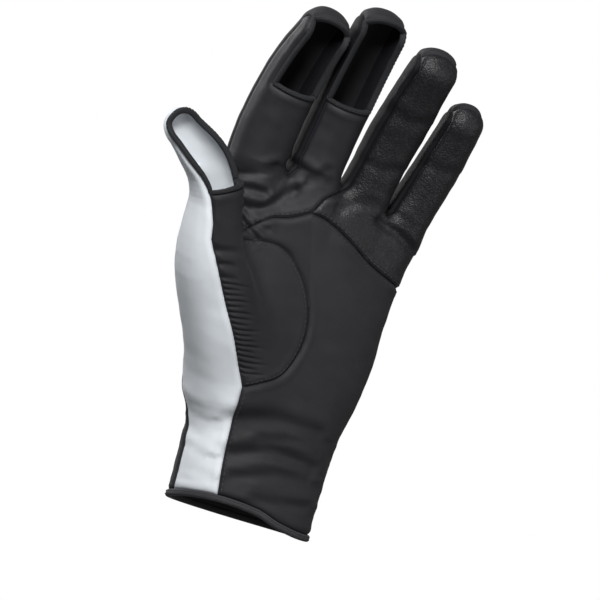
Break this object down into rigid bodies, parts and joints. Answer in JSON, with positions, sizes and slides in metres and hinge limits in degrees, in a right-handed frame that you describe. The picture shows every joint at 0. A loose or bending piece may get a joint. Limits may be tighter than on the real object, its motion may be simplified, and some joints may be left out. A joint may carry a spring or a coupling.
{
  "type": "fishing glove",
  "caption": "Left-hand cloth fishing glove in its worn form, with open fingertips on the thumb, index and middle finger, a pale side panel and a bound cuff.",
  "frame": {"origin": "middle of the wrist opening, where the wrist enters the glove", "axes": "+Z from the wrist to the fingertips, -Y out of the palm side, +X towards the little finger"},
  "size_m": [0.1463, 0.0654, 0.2299],
  "materials": {
    "palm_cloth": "smooth black cloth with a soft satin sheen",
    "back_cloth": "matt black knit",
    "stretch_cloth": "black stretch knit with a soft sheen",
    "grained_leather": "finely grained black synthetic leather",
    "grey_cloth": "matt light grey knit",
    "binding_tape": "dark charcoal woven tape"
  },
  "bodies": {
    "root": {"palm_panel": "palm_cloth", "thumb_front_panel": "palm_cloth", "side_panel": "grey_cloth", "back_panel": "back_cloth", "index_middle_front": "stretch_cloth", "ring_little_front": "grained_leather", "index_middle_gusset": "stretch_cloth", "middle_ring_gusset": "stretch_cloth", "ring_little_gusset": "stretch_cloth", "thumb_binding": "binding_tape", "index_binding": "binding_tape", "middle_binding": "binding_tape", "cuff_binding": "binding_tape"}
  },
  "joints": []
}
